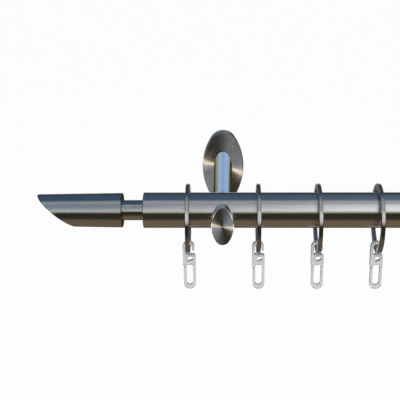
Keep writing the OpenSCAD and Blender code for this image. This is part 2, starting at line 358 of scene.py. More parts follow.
@dataclass(frozen=True, kw_only=True)
class Metal:
    """A metal finish with fine lines; each kind of metal has its own lines."""

    name: str
    shade: Triple
    light: Triple
    roughness: float
    # How far the lines draw out the shine, and the turn of its long side, from 0 to 1
    anisotropy: float = 0.0
    rotation: float = 0.0
    # Lines to a metre
    fineness: float
    # Size of handling marks in metres, and the roughness that they add
    mark_size: float = 0.03
    mark_dulling: float = 0.03

    def material(self, effects: Effects) -> bpy.types.Material:
        """Builds the material.

        Args:
            effects: The shared node groups.

        Returns:
            The finished material.
        """
        surface = Surface(self.name, effects)
        tone, relief = self._lines(surface)
        added = surface.graph.math("MULTIPLY", surface.marks(self.mark_size), self.mark_dulling)
        return surface.finish({
            "Base Color": self._colour(surface, tone),
            "Roughness": surface.graph.math("ADD", added, self.roughness),
            "Metallic": 1.0,
            "Anisotropic": self.anisotropy,
            "Anisotropic Rotation": self.rotation,
            **relief,
        })

    def _lines(self, surface: Surface) -> tuple[Socket, dict[str, Socket]]:
        """Places the lines, and gives their tone and what feeds the shader's Normal and Tangent."""
        raise NotImplementedError

    def _colour(self, surface: Surface, tone: Socket) -> Socket:
        """Gives the metal's colour, between shade and light."""
        return surface.graph.blend(tone, self.shade, self.light)


@dataclass(frozen=True, kw_only=True)
class BrushedMetal(Metal):
    """A metal with straight lines, brushed, drawn or plated."""

    around: Around
    # Depth of the lines in metres, and how many times closer together they lie in each direction
    depth: float
    stretch: Triple = (1.0, 1.0, 1.0)
    # Painted shade on the faces that turn towards the middle of the rod: their tone as a share of the shade
    # colour
    painted_end_shade: float = 1.0
    # A surface gets this painted shade where it faces the middle of the rod by more than this
    shaded_end_facing: float = 0.6

    def _lines(self, surface: Surface) -> tuple[Socket, dict[str, Socket]]:
        """Places straight lines as a bump.

        Args:
            surface: The material in the making.

        Returns:
            The lines' tone, and what feeds the shader's Normal and Tangent.
        """
        graph = surface.graph
        inputs = {"Position": surface.place, "Stretch": self.stretch, "Fineness": self.fineness}
        lines = graph.add("ShaderNodeGroup", inputs, node_tree=surface.effects.brushed)
        height = {"Strength": 1.0, "Distance": self.depth, "Height": lines.outputs["Height"]}
        bump = graph.add("ShaderNodeBump", height)
        tangent = graph.add("ShaderNodeTangent", direction_type="RADIAL", axis=self.around.value)
        return lines.outputs["Tone"], {"Normal": bump.outputs[0], "Tangent": tangent.outputs[0]}

    def _colour(self, surface: Surface, tone: Socket) -> Socket:
        """Paints shade on the faces that turn towards the middle of the rod, by darkening them.

        Args:
            surface: The material in the making.
            tone: The lines' tone.

        Returns:
            The metal's colour.
        """
        colour = super()._colour(surface, tone)
        if self.painted_end_shade == 1.0:
            return colour
        graph = surface.graph
        side = graph.math("SIGN", graph.split(surface.place)["X"])
        outward = graph.math("MULTIPLY", graph.split(surface.facing())["X"], side)
        # Painted shade: faces that turn towards the middle of the rod are darkened
        end_shade_mask = graph.math("LESS_THAN", outward, -self.shaded_end_facing)
        return graph.blend(end_shade_mask, colour, [self.painted_end_shade * part for part in self.shade])


@dataclass(frozen=True, kw_only=True)
class TurnedMetal(Metal):
    """A metal with fine rings round a centre, as a lathe leaves them."""

    centre: Triple
    # How steeply the rings' flanks lean
    slope: float
    # Share and tint of a painted highlight on a bevel between a face and its rim, which brightens its colour
    # towards the tint
    bevel_highlight: float = 0.0
    bevel_highlight_tint: Triple = (1.0, 1.0, 0.97)
    # A surface counts as a bevel where it faces along the arm by the first number, give or take the second
    bevel_facing: tuple[float, float] = (0.7, 0.2)

    def _lines(self, surface: Surface) -> tuple[Socket, dict[str, Socket]]:
        """Places rings as leaning normals.

        Args:
            surface: The material in the making.

        Returns:
            The rings' tone, and what feeds the shader's Normal and Tangent.
        """
        graph = surface.graph
        inputs = {"Position": surface.place, "Facing": surface.facing(), "Centre": self.centre}
        inputs |= {"Fineness": self.fineness, "Slope": self.slope}
        rings = graph.add("ShaderNodeGroup", inputs, node_tree=surface.effects.turned)
        offset = graph.vector_math("SUBTRACT", surface.place, self.centre)
        across = graph.vector_math("CROSS_PRODUCT", offset, (0.0, 1.0, 0.0))
        tangent = graph.vector_math("NORMALIZE", across)
        return rings.outputs["Tone"], {"Normal": rings.outputs["Normal"], "Tangent": tangent}

    def _colour(self, surface: Surface, tone: Socket) -> Socket:
        """Paints a highlight on the bevels by brightening their colour.

        Args:
            surface: The material in the making.
            tone: The rings' tone.

        Returns:
            The metal's colour.
        """
        colour = super()._colour(surface, tone)
        if self.bevel_highlight == 0.0:
            return colour
        graph = surface.graph
        # Painted highlight: bevels are brightened towards a pale tint
        forward = graph.math("ABSOLUTE", graph.split(surface.facing())["Y"])
        bevel = graph.math("COMPARE", forward, *self.bevel_facing)
        return graph.blend(graph.math("MULTIPLY", bevel, self.bevel_highlight), colour, self.bevel_highlight_tint)


@dataclass(frozen=True, kw_only=True)
class Plastic:
    """A moulded plastic, clear or opaque."""

    name: str
    colour: Triple
    roughness: float
    transmission: float
    ior: float = 1.49
    # Painted shade at the edges seen side-on: their tone as a share of the tone in the middle, and how narrow
    # the edges are
    edge_shade_share: float = 0.94
    edge_power: float = 1.5
    # Size, depth and relief of handling marks, and the share of the edges' darker tone and the roughness that
    # they add
    mark_size: float = 4.0 * MM
    mark_depth: float = 0.1 * MM
    mark_relief: float = 0.3
    mark_tone: float = 0.15
    mark_dulling: float = 0.08

    def material(self, effects: Effects) -> bpy.types.Material:
        """Builds the material.

        Args:
            effects: The shared node groups.

        Returns:
            The finished material.
        """
        surface = Surface(self.name, effects)
        graph, marks = surface.graph, surface.marks(self.mark_size)
        # Painted shade: edges seen side-on are darkened, by how far the surface turns from the view; handling
        # marks take the same darker tone
        edge = graph.math("POWER", graph.add("ShaderNodeLayerWeight").outputs["Facing"], self.edge_power)
        marks_and_edge_shade = graph.math("MULTIPLY_ADD", marks, self.mark_tone, edge)
        rim = [self.edge_shade_share * part for part in self.colour]
        height = {"Strength": self.mark_relief, "Distance": self.mark_depth, "Height": marks}
        added = graph.math("MULTIPLY", marks, self.mark_dulling)
        return surface.finish({
            "Base Color": graph.blend(marks_and_edge_shade, self.colour, rim),
            "Roughness": graph.math("ADD", added, self.roughness),
            "Normal": graph.add("ShaderNodeBump", height).outputs[0],
            "Transmission Weight": self.transmission,
            "IOR": self.ior,
        })


def dress(names: Iterable[str], material: bpy.types.Material) -> None:
    """Gives CAD nodes their finish.

    Args:
        names: Names of the nodes.
        material: The finish.
    """
    for name in names:
        node = NODES[name]
        node.data.materials.clear()
        node.data.materials.append(material)
        LOG.info("%s finished as %s", name, material.name)


def bake(name: str, work: bmesh.types.BMesh) -> bpy.types.Mesh:
    """Turns a bmesh into a mesh.

    Args:
        name: Name of the mesh.
        work: The bmesh, which is used up.

    Returns:
        The mesh.
    """
    mesh = bpy.data.meshes.new(name)
    work.to_mesh(mesh)
    work.free()
    return mesh


def put(name: str, data: bpy.types.ID) -> bpy.types.Object:
    """Puts a mesh, a lamp or a camera into the scene.

    Args:
        name: Name of the object.
        data: What it shows.

    Returns:
        The new object.
    """
    piece = bpy.data.objects.new(name, data)
    bpy.context.scene.collection.objects.link(piece)
    return piece


def bridge(work: bmesh.types.BMesh, rows: list[list[bmesh.types.BMVert]]) -> None:
    """Joins each closed row of corners to the next one with faces.

    Args:
        work: The mesh.
        rows: The rows, all with the same number of corners.
    """
    for first, second in zip(rows, rows[1:]):
        for i, corner in enumerate(first):
            following = (i + 1) % len(first)
            work.faces.new((corner, first[following], second[following], second[i]))


def centre_of(name: str) -> Triple:
    """Gives the middle of a CAD node's box."""
    low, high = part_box(name)
    return tuple((low + high) / 2)


@dataclass
class Rod:
    """The tube with its plugs, its two slanted finials and their studs."""

    effects: Effects
    steel: Metal = BrushedMetal(
        name="brushed_tube_steel", shade=(0.58, 0.58, 0.58), light=(0.66, 0.66, 0.65), roughness=0.14,
        anisotropy=0.95, rotation=0.25, around=Around.ROD, fineness=900.0, depth=FINE,
        stretch=(1.0, 9.0, 9.0),
    )
    # Its faces towards the middle of the rod get painted shade
    finial_steel: Metal = BrushedMetal(
        name="turned_finial_steel", shade=(0.50, 0.50, 0.51), light=(0.60, 0.60, 0.60), roughness=0.13,
        anisotropy=0.95, rotation=0.25, around=Around.ROD, fineness=2500.0, depth=FINE,
        stretch=(6.0, 0.6, 0.6), painted_end_shade=0.2,
    )
    plug: Plastic = Plastic(
        name="moulded_plug", colour=(0.05, 0.05, 0.055), roughness=0.45, transmission=0.0
    )
    stud_steel: Metal = BrushedMetal(
        name="zinc_plated_stud", shade=(0.52, 0.52, 0.5), light=(0.6, 0.6, 0.58), roughness=0.35,
        around=Around.ROD, fineness=1500.0, depth=ROUGH, stretch=(4.0, 1.0, 1.0),
    )

    def finish(self) -> None:
        """Dresses the tube and what it carries."""
        dress(["tube"], self.steel.material(self.effects))
        dress([f"finial_{side}" for side in SIDES], self.finial_steel.material(self.effects))
        dress([f"tube_plug_{side}" for side in SIDES], self.plug.material(self.effects))
        dress(["finial_studs"], self.stud_steel.material(self.effects))


def oval_loop(width: float, height: float, steps: int = 128) -> list[tuple[float, float]]:
    """Gives the points of an oval of four smooth arcs, one for each direction that its edge faces.

    Args:
        width: Full width.
        height: Full height, more than the width.
        steps: Number of points.

    Returns:
        Pairs of x and z.
    """
    half = width / 2
    end_r = OVAL_END * half
    end_z = height / 2 - end_r
    slack = half - end_r
    side_x = (end_z * end_z - slack * slack) / (2 * slack)
    side_r = half + side_x
    join = math.atan2(end_z, side_x)
    points = []
    for i in range(steps):
        turn = 2 * math.pi * i / steps
        out_x, out_z = math.cos(turn), math.sin(turn)
        if abs(out_z) > math.sin(join):
            points.append((end_r * out_x, math.copysign(end_z, out_z) + end_r * out_z))
        else:
            points.append((side_r * out_x - math.copysign(side_x, out_x), side_r * out_z))
    return points


@dataclass
class OvalShell:
    """A turned piece with an oval outline, made as loops from its back edge over its rim to its face."""

    node: str
    # Loops from the back over the rim: distance from the back, and how far inside the outline
    loops: tuple[tuple[float, float], ...]
    # Loops of the face and what lies behind it: distance from the back, width and height
    face: tuple[Triple, ...]
    # Whether the first and the last loop are filled; otherwise they are joined
    closed: bool

    def build(self, material: bpy.types.Material) -> bpy.types.Object:
        """Builds the piece in the place of its CAD node.

        Args:
            material: Its finish.

        Returns:
            The piece.
        """
        low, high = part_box(self.node)
        width, height = high.x - low.x, high.z - low.z
        rings = [(front, width - 2 * inset, height - 2 * inset) for front, inset in self.loops]
        rings += self.face
        middle = Vector(((low.x + high.x) / 2, high.y, (low.z + high.z) / 2))
        work = bmesh.new()
        rows = [
            [work.verts.new(middle + Vector((x, -front, z))) for x, z in oval_loop(wide, tall)]
            for front, wide, tall in rings
        ]
        bridge(work, rows if self.closed else rows + rows[:1])
        if self.closed:
            for row in (rows[0], rows[-1]):
                work.faces.new(row)
        bmesh.ops.recalc_face_normals(work, faces=work.faces)
        mesh = bake(f"turned_{self.node}", work)
        mesh.shade_smooth()
        mesh.set_sharp_from_angle(angle=SHARP)
        mesh.materials.append(material)
        piece = put(mesh.name, mesh)
        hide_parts(self.node)
        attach(piece, "rod_and_brackets")
        LOG.info("%s built with %d loops", piece.name, len(rings))
        return piece


@dataclass
class Bracket:
    """One wall bracket: plate, rosette, arm and end cap."""

    effects: Effects
    side: str
    # The rosette: its depth, how far its rim leans in over an upright wall, and how deep its face is dished
    depth: float = 7.2 * MM
    rim_lean: float = 0.9 * MM
    rim_wall: float = 1.2 * MM
    dish: float = 2.5 * MM
    # Its sheet, how far its hollow back lies behind the rim of its face, and the hole's width and height
    sheet: float = 1.0 * MM
    back: float = 1.2 * MM
    hole: tuple[float, float] = (11.8 * MM, 21.4 * MM)
    # The cap: its depth, how far its side leans in, and the width of its bevel
    cap_depth: float = 6.8 * MM
    cap_lean: float = 0.05 * MM
    cap_edge: float = 0.35 * MM
    # Where loops lie on the rosette's rim, from there to its hole, and on the cap's side: shares of the way
    rim_loops: tuple[float, ...] = (0.0, 0.2, 0.4, 0.6, 0.8, 1.0)
    face_loops: tuple[float, ...] = (0.02, 0.25, 0.5, 0.75, 1.0)
    side_loops: tuple[float, ...] = (0.3, 0.6, 1.0)
    # Height of the lathe's axis above the middle of the rosette
    off_centre: float = 0.9 * MM
    # Turned rings to a metre, how steeply their flanks lean, and the share of the painted highlight on the
    # cap's bevel
    rosette_rings: float = 9000.0
    cap_rings: float = 14000.0
    flank_slope: float = 2.4
    cap_bevel_highlight: float = 0.9

    def finish(self) -> tuple[bpy.types.Object, bpy.types.Object]:
        """Dresses the bracket's parts.

        Returns:
            The two turned pieces that show: rosette and end cap.
        """
        shell = self._rosette(f"rosette_{self.side}")
        cap = self._cap(f"end_cap_{self.side}")
        arm = BrushedMetal(
            name=f"satin_arm_{self.side}", shade=(0.60, 0.61, 0.62), light=(0.70, 0.70, 0.71), roughness=0.09,
            anisotropy=0.9, rotation=0.25, around=Around.ARM, fineness=1200.0, depth=FINE,
            stretch=(9.0, 1.0, 9.0),
        )
        dress([f"arm_{self.side}"], arm.material(self.effects))
        plate = BrushedMetal(
            name=f"zinc_plate_{self.side}", shade=(0.5, 0.51, 0.52), light=(0.62, 0.62, 0.62), roughness=0.4,
            around=Around.ARM, fineness=700.0, depth=ROUGH,
        )
        dress([f"wall_plate_{self.side}"], plate.material(self.effects))
        # Turned faces mirror their own dome, and not the arm that stands before them
        for part in ("arm", "wall_plate"):
            NODES[f"{part}_{self.side}"].visible_glossy = False
        return shell, cap

    def _turned(self, node: str, fineness: float, off_centre: float, bevel_highlight: float) -> bpy.types.Material:
        """Builds the finish of a turned face.

        Args:
            node: The CAD node with the face.
            fineness: Turned rings to a metre.
            off_centre: Height of the lathe's axis above the middle of the face.
            bevel_highlight: Share of the painted highlight on a bevel.

        Returns:
            The finish.
        """
        x, y, z = centre_of(node)
        steel = TurnedMetal(
            name=f"turned_steel_{node}", shade=(0.54, 0.54, 0.54), light=(0.66, 0.66, 0.66), roughness=0.15,
            anisotropy=0.95, rotation=0.25, fineness=fineness, centre=(x, y, z + off_centre),
            slope=self.flank_slope, bevel_highlight=bevel_highlight,
        )
        return steel.material(self.effects)

    def _rosette(self, node: str) -> bpy.types.Object:
        """Builds the rosette: a hollow shell with a leaning rim and a dished face.

        Args:
            node: The CAD node that the shell stands for.

        Returns:
            The shell.
        """
        low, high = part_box(node)
        width, height = high.x - low.x, high.z - low.z
        loops = [(0.0, 0.0)]
        for share in self.rim_loops:
            forward = self.rim_wall + share * (self.depth - self.rim_wall)
            loops.append((forward, self.rim_lean * share * share))
        rim = (width - 2 * self.rim_lean, height - 2 * self.rim_lean)
        face = [
            (
                self.depth - share * self.dish,
                rim[0] + share * (self.hole[0] - rim[0]),
                rim[1] + share * (self.hole[1] - rim[1]),
            )
            for share in self.face_loops
        ]
        face.append((self.depth - self.dish - self.sheet, *self.hole))
        inner = (rim[0] - 2 * self.sheet, rim[1] - 2 * self.sheet)
        face.append((self.depth - self.back, *inner))
        face.append((0.0, *inner))
        finish = self._turned(node, self.rosette_rings, self.off_centre, 0.0)
        piece = OvalShell(node, tuple(loops), tuple(face), closed=False).build(finish)
        piece.visible_glossy = False
        return piece

    def _cap(self, node: str) -> bpy.types.Object:
        """Builds the end cap: a solid oval with a narrow bevel round its flat face.

        Args:
            node: The CAD node that the cap stands for.

        Returns:
            The cap.
        """
        bevel = self.cap_depth - self.cap_edge
        loops = [(0.0, self.cap_edge), (self.cap_edge, 0.0)]
        for share in self.side_loops:
            forward = self.cap_edge + share * (bevel - self.cap_edge)
            loops.append((forward, self.cap_lean * share ** 2))
        loops.append((self.cap_depth, self.cap_lean + self.cap_edge))
        finish = self._turned(node, self.cap_rings, 0.0, self.cap_bevel_highlight)
        return OvalShell(node, tuple(loops), (), closed=True).build(finish)


@dataclass
class Rings:
    """The eight sliding rings, whose outer face is flat."""

    effects: Effects
    steel: Metal = BrushedMetal(
        name="polished_ring_steel", shade=(0.36, 0.36, 0.36), light=(0.46, 0.46, 0.45), roughness=0.09,
        anisotropy=0.2, around=Around.ROD, fineness=2500.0, depth=0.000001, stretch=(5.0, 1.0, 1.0),
        mark_size=0.01,
    )
    # Radius of the two outer edges; the inner edge is fully round
    edge_r: float = 0.55 * MM
    # Steps round the ring and round one edge
    steps: int = 128
    edge_steps: int = 6

    def finish(self) -> tuple[bpy.types.Object, ...]:
        """Puts a ring with a flat outer face in the place of every CAD ring.

        Returns:
            The rings.
        """
        low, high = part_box("ring_1")
        mesh = self._turned((high.z - low.z) / 2, (high.x - low.x) / 2)
        mesh.materials.append(self.steel.material(self.effects))
        pieces = []
        for i in range(1, RING_COUNT + 1):
            name = f"ring_{i}"
            piece = put(f"flat_{name}", mesh)
            piece.location = centre_of(name)
            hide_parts(name)
            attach(piece, name)
            pieces.append(piece)
            LOG.info("%s built with %d faces", piece.name, len(mesh.polygons))
        return tuple(pieces)

    def _section(self, outer: float, half: float) -> list[tuple[float, float]]:
        """Gives the band's cross-section.

        Args:
            outer: Outer radius of the ring.
            half: Half of its thickness.

        Returns:
            Pairs of distance along the tube and radius, once round the section.
        """
        points = []
        for i in range(self.edge_steps + 1):
            turn = math.pi / 2 * i / self.edge_steps
            points.append((
                half - self.edge_r + self.edge_r * math.cos(turn),
                outer - self.edge_r + self.edge_r * math.sin(turn),
            ))
        points += [(-along, radius) for along, radius in reversed(points)]
        inner = outer - RING_BAND + half
        for i in range(2 * self.edge_steps + 1):
            turn = math.pi + math.pi * i / (2 * self.edge_steps)
            points.append((half * math.cos(turn), inner + half * math.sin(turn)))
        return points

    def _turned(self, outer: float, half: float) -> bpy.types.Mesh:
        """Turns the section round the tube's direction.

        Args:
            outer: Outer radius of the ring.
            half: Half of its thickness.

        Returns:
            The ring's mesh round the origin.
        """
        section = self._section(outer, half)
        work = bmesh.new()
        rows = []
        for i in range(self.steps):
            turn = 2 * math.pi * i / self.steps
            rows.append([
                work.verts.new((along, radius * math.cos(turn), radius * math.sin(turn)))
                for along, radius in section
            ])
        bridge(work, rows + rows[:1])
        bmesh.ops.recalc_face_normals(work, faces=work.faces)
        mesh = bake("flat_ring", work)
        mesh.shade_smooth()
        return mesh


@dataclass
class CurtainHooks:
    """The eight moulded hooks, each a soft-edged body in place of its CAD solid."""

    effects: Effects
    # Corners of the CAD mesh that lie closer than this are one
    same_place: float = 0.001 * MM
    # Size of the even skin's cells, and how often and how strongly it is smoothed
    grain: float = 0.17 * MM
    softening: int = 7
    softness: float = 0.5
    # Its edges seen side-on get strong painted shade
    clear: Plastic = Plastic(
        name="milky_moulded_hook", colour=(0.80, 0.80, 0.80), roughness=0.25, transmission=0.5,
        edge_shade_share=0.58,
    )

    def finish(self) -> None:
        """Builds one soft-edged hook and hangs a copy on every ring."""
        material = self.clear.material(self.effects)
        mesh = self._moulded("curtain_hook_1", material)
        start = centre_of("curtain_hook_1")
        for i in range(1, RING_COUNT + 1):
            name = f"curtain_hook_{i}"
            piece = put(f"moulded_{name}", mesh)
            piece.location = Vector(centre_of(name)) - Vector(start)
            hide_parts(name)
            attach(piece, name)
            LOG.info("%s built with %d faces", piece.name, len(mesh.polygons))

    def _moulded(self, name: str, material: bpy.types.Material) -> bpy.types.Mesh:
        """Rounds every edge of a hook as a mould leaves it.

        Args:
            name: The CAD node to start from.
            material: The hook's finish.

        Returns:
            The rounded mesh, in the place of that node.
        """
        rough = put("rough_hook", NODES[name].data.copy())
        weld = rough.modifiers.new("weld", "WELD")
        weld.merge_threshold = self.same_place
        remesh = rough.modifiers.new("even_skin", "REMESH")
        remesh.mode = "VOXEL"
        remesh.voxel_size = self.grain
        soften = rough.modifiers.new("soft_edges", "SMOOTH")
        soften.factor = self.softness
        soften.iterations = self.softening
        bpy.context.view_layer.update()
        mesh = bpy.data.meshes.new_from_object(rough.evaluated_get(bpy.context.evaluated_depsgraph_get()))
        bpy.data.objects.remove(rough)
        mesh.name = "moulded_hook"
        mesh.materials.clear()
        mesh.materials.append(material)
        mesh.shade_smooth()
        return mesh


@dataclass
class Screws:
    """The grub screws under both brackets."""

    effects: Effects
    steel: Metal = BrushedMetal(
        name="blackened_screw", shade=(0.05, 0.05, 0.055), light=(0.11, 0.11, 0.12), roughness=0.4,
        around=Around.UPRIGHT, fineness=3000.0, depth=ROUGH,
    )

    def finish(self) -> None:
        """Dresses the screws."""
        dress(["grub_screws"], self.steel.material(self.effects))


@dataclass(frozen=True)
class Dome:
    """A far striped dome that only the mirrors of some pieces show."""

    name: str
    radius: float
    # The pieces in whose mirrors it shows
    mirrors: tuple[bpy.types.Object, ...]
    # Whether mirrors that are not linked to this dome see the next one behind it
    clear: bool = True

    def build(self) -> None:
        """Hangs the dome and links its light to the pieces that mirror it."""
        work = bmesh.new()
        bmesh.ops.create_uvsphere(work, u_segments=48, v_segments=24, radius=self.radius)
        mesh = bake(self.name, work)
        material, graph = new_material(f"{self.name}_stripes")
        way = graph.vector_math("NORMALIZE", graph.add("ShaderNodeTexCoord").outputs["Object"])
        self._glow(graph, self._colour(graph, way))
        mesh.materials.append(material)
        dome = put(self.name, mesh)
        dome.visible_camera = False
        dome.visible_diffuse = False
        dome.visible_transmission = False
        dome.visible_shadow = False
        seen_by = bpy.data.collections.new(f"{self.name}_mirrors")
        for piece in self.mirrors:
            seen_by.objects.link(piece)
        dome.light_linking.receiver_collection = seen_by

    def _colour(self, graph: Graph, way: Socket) -> Socket:
        """Gives the colour for a way out of the middle; each kind of dome has its own."""
        raise NotImplementedError

    def _glow(self, graph: Graph, colour: Socket) -> None:
        """Lets the dome glow, and a clear one show what is behind it too.

        Args:
            graph: The dome's graph.
            colour: The colour of its glow.
        """
        shown = graph.add("ShaderNodeEmission", {"Color": colour}).outputs[0]
        if self.clear:
            behind = graph.add("ShaderNodeBsdfTransparent").outputs[0]
            shown = graph.add("ShaderNodeAddShader", {0: shown, 1: behind}).outputs[0]
        graph.add("ShaderNodeOutputMaterial", {"Surface": shown})

    @staticmethod
    def _stripes(graph: Graph, place: Socket, stripes: Stripes, first: float, whole: float) -> Socket:
        """Adds a colour ramp for stripes at given angles.

        Args:
            graph: The dome's graph.
            place: The socket with the place along the stripes, from 0 to 1.
            stripes: Pairs of angle in degrees and tone.
            first: Angle at the place 0.
            whole: Angle from the place 0 to the place 1.

        Returns:
            The colour's socket.
        """
        ramp = graph.add("ShaderNodeValToRGB", {0: place})
        stops = ramp.color_ramp.elements
        while len(stops) < len(stripes):
            stops.new(0.5)
        for stop, (degrees, tone) in zip(stops, stripes):
            stop.position = (degrees - first) / whole
            stop.color = (*tone.value, 1.0)
        return ramp.outputs[0]


@dataclass(frozen=True)
class RodDome(Dome):
    """The dome in the mirrors of the rod, its finials and the rings: level stripes."""

    stripes: Stripes = ()
    # Brightness of the tall window on the right, and of the sky that fades out above it
    window: float = 0.0
    sky: float = 0.0
    # Share of the tint in the low band on the left
    cool: float = 0.0
    cool_tint: Triple = (0.45, 0.78, 1.0)
    # Heights in degrees over which each light begins and ends
    window_foot: tuple[float, float] = (6.0, 20.0)
    window_head: tuple[float, float] = (52.0, 64.0)
    sky_fade: tuple[float, float] = (150.0, 84.0)
    cool_foot: tuple[float, float] = (22.0, 30.0)
    cool_head: tuple[float, float] = (48.0, 56.0)
    # Turns to the side over which each light begins and ends, as the sideways share of the way out
    right_start: tuple[float, float] = (-0.05, 0.18)
    right_end: tuple[float, float] = (0.6, 0.45)
    right_power: float = 1.3
    left_start: tuple[float, float] = (-0.08, -0.2)

    def _colour(self, graph: Graph, way: Socket) -> Socket:
        """Builds stripes by height, from the floor behind, past the front and over the top.

        Args:
            graph: The dome's graph.
            way: The way out of the middle.

        Returns:
            The colour for that way.
        """
        parts = graph.split(way)
        front = graph.math("MULTIPLY", parts["Y"], -1.0)
        height = graph.math("MULTIPLY", graph.math("ARCTAN2", parts["Z"], front), math.degrees(1.0))
        place = graph.math("ADD", graph.math("MULTIPLY", height, 1.0 / TURN), 0.5)
        colour = self._stripes(graph, place, self.stripes, -TURN / 2, TURN)
        lit = graph.rise(height, *self.window_foot)
        ended = graph.rise(height, *self.window_head)
        tall = graph.math("MULTIPLY", graph.math("SUBTRACT", lit, ended), self.window)
        fade = graph.math("MULTIPLY", graph.rise(height, *self.sky_fade), ended)
        light = graph.math("ADD", tall, graph.math("MULTIPLY", fade, self.sky))
        right = graph.math("POWER", graph.rise(parts["X"], *self.right_start), self.right_power)
        right = graph.math("MULTIPLY", right, graph.rise(parts["X"], *self.right_end))
        colour = graph.blend(graph.math("MULTIPLY", light, right), colour, WHITE, blend_type="ADD")
        left = graph.math("MULTIPLY", graph.rise(parts["X"], *self.left_start), self.cool)
        low = graph.math("SUBTRACT", graph.rise(height, *self.cool_foot), graph.rise(height, *self.cool_head))
        cooled = graph.math("MULTIPLY", left, low)
        return graph.blend(cooled, colour, self.cool_tint, blend_type="MULTIPLY")


@dataclass(frozen=True)
class ArmDome(Dome):
    """The dome in the mirrors of the arms: bands that follow the direction in which a mirror faces."""

    bands: Stripes = ()
    # Direction in which the camera looks at the brackets
    sight: Triple = (0.0, 0.95, -0.31)

    def _facing(self, graph: Graph, way: Socket) -> bpy.types.bpy_prop_collection:
        """Gives where a mirror faces, midway between the way in and the way out, as X, Y and Z."""
        return graph.split(graph.vector_math("SUBTRACT", way, self.sight))

    def _colour(self, graph: Graph, way: Socket) -> Socket:
        """Builds the bands, which run along the arm, by a mirror's turn from facing up.

        Args:
            graph: The dome's graph.
            way: The way out of the middle.

        Returns:
            The colour for that way.
        """
        facing = self._facing(graph, way)
        across = graph.math("ARCTAN2", facing["X"], facing["Z"])
        place = graph.math("ADD", graph.math("MULTIPLY", across, 0.5 / math.pi), 0.5)
        return self._stripes(graph, place, self.bands, -TURN / 2, TURN)


@dataclass(frozen=True)
class TurnedDome(ArmDome):
    """The dome in the mirrors of turned faces: a fan of stripes in front and bands for the rims behind."""

    fan: Stripes = ()
    # Shares of the way out along the arm over which the rims' bands take over from the fan
    rims: tuple[float, float] = (0.72, 0.92)
    # Light in the mirrors of bevels: where it stands along the arm, half its width, and its brightness
    bevel_way: float = 0.1
    bevel_reach: float = 0.35
    bevel_light: float = 0.0

    def _colour(self, graph: Graph, way: Socket) -> Socket:
        """Builds the fan, which runs round the arm, the rims' bands and the light for bevels.

        Args:
            graph: The dome's graph.
            way: The way out of the middle.

        Returns:
            The colour for that way.
        """
        facing = self._facing(graph, way)
        tilt = graph.math("ARCTAN2", facing["Z"], facing["X"])
        half_turns = graph.math("ADD", graph.math("MULTIPLY", tilt, 1.0 / math.pi), 1.0)
        fan = self._stripes(graph, graph.math("FRACT", half_turns), self.fan, 0.0, TURN / 2)
        parts = graph.split(way)
        behind = graph.rise(parts["Y"], *self.rims, way="SMOOTHSTEP")
        colour = graph.blend(behind, fan, super()._colour(graph, way))
        level = graph.math("COMPARE", parts["Y"], self.bevel_way, self.bevel_reach)
        sideways = graph.math("POWER", graph.math("ABSOLUTE", parts["X"]), 2.0)
        bevel = graph.math("MULTIPLY", graph.math("MULTIPLY", level, sideways), self.bevel_light)
        return graph.blend(bevel, colour, WHITE, blend_type="ADD", clamp_factor=False)


# What the metal mirrors, by the height in degrees of the way out: 0 level in front, 90 straight up
ROD_STRIPES = (
    (-180.0, Tone.HAZE),
    (-173.0, Tone.HAZE),
    (-164.0, Tone.SHADE),
    (-150.0, Tone.SHADE),
    (-110.0, Tone.UMBER),
    (-58.0, Tone.UMBER),
    (-36.0, Tone.SHADE),
    (-3.0, Tone.SHADE),
    (12.0, Tone.PALE),
    (40.0, Tone.HAZE),
    (56.0, Tone.STONE),
    (66.0, Tone.HAZE),
    (76.0, Tone.HAZE),
    (92.0, Tone.DUSK),
    (140.0, Tone.DUSK),
    (154.0, Tone.SHADE),
    (168.0, Tone.SHADE),
    (176.0, Tone.HAZE),
    (180.0, Tone.HAZE),
)
RING_STRIPES = (
    (-180.0, Tone.HAZE),
    (-150.0, Tone.SHADE),
    (-98.0, Tone.UMBER),
    (-54.0, Tone.UMBER),
    (-36.0, Tone.SHADE),
    (-4.0, Tone.SHADE),
    (12.0, Tone.GLARE),
    (38.0, Tone.GLARE),
    (50.0, Tone.PALE),
    (76.0, Tone.PALE),
    (88.0, Tone.HAZE),
    (108.0, Tone.DUSK),
    (125.0, Tone.DUSK),
    (138.0, Tone.MOSS),
    (160.0, Tone.SHADE),
    (180.0, Tone.HAZE),
)
# What the turned faces mirror, by the way that a groove's flank leans round the arm
CAP_STRIPES = (
    (0.0, Tone.WARM),
    (12.0, Tone.STONE),
    (55.0, Tone.SLATE),
    (84.0, Tone.MOSS),
    (100.0, Tone.SHADE),
    (130.0, Tone.SHADE),
    (144.0, Tone.MOSS),
    (158.0, Tone.UMBER),
    (171.0, Tone.CREAM),
    (180.0, Tone.WARM),
)
ROSETTE_STRIPES = (
    (0.0, Tone.HAZE),
    (10.0, Tone.STONE),
    (76.0, Tone.STONE),
    (92.0, Tone.MOSS),
    (104.0, Tone.SHADE),
    (128.0, Tone.SHADE),
    (150.0, Tone.UMBER),
    (163.0, Tone.CREAM),
    (174.0, Tone.WARM),
    (180.0, Tone.HAZE),
)
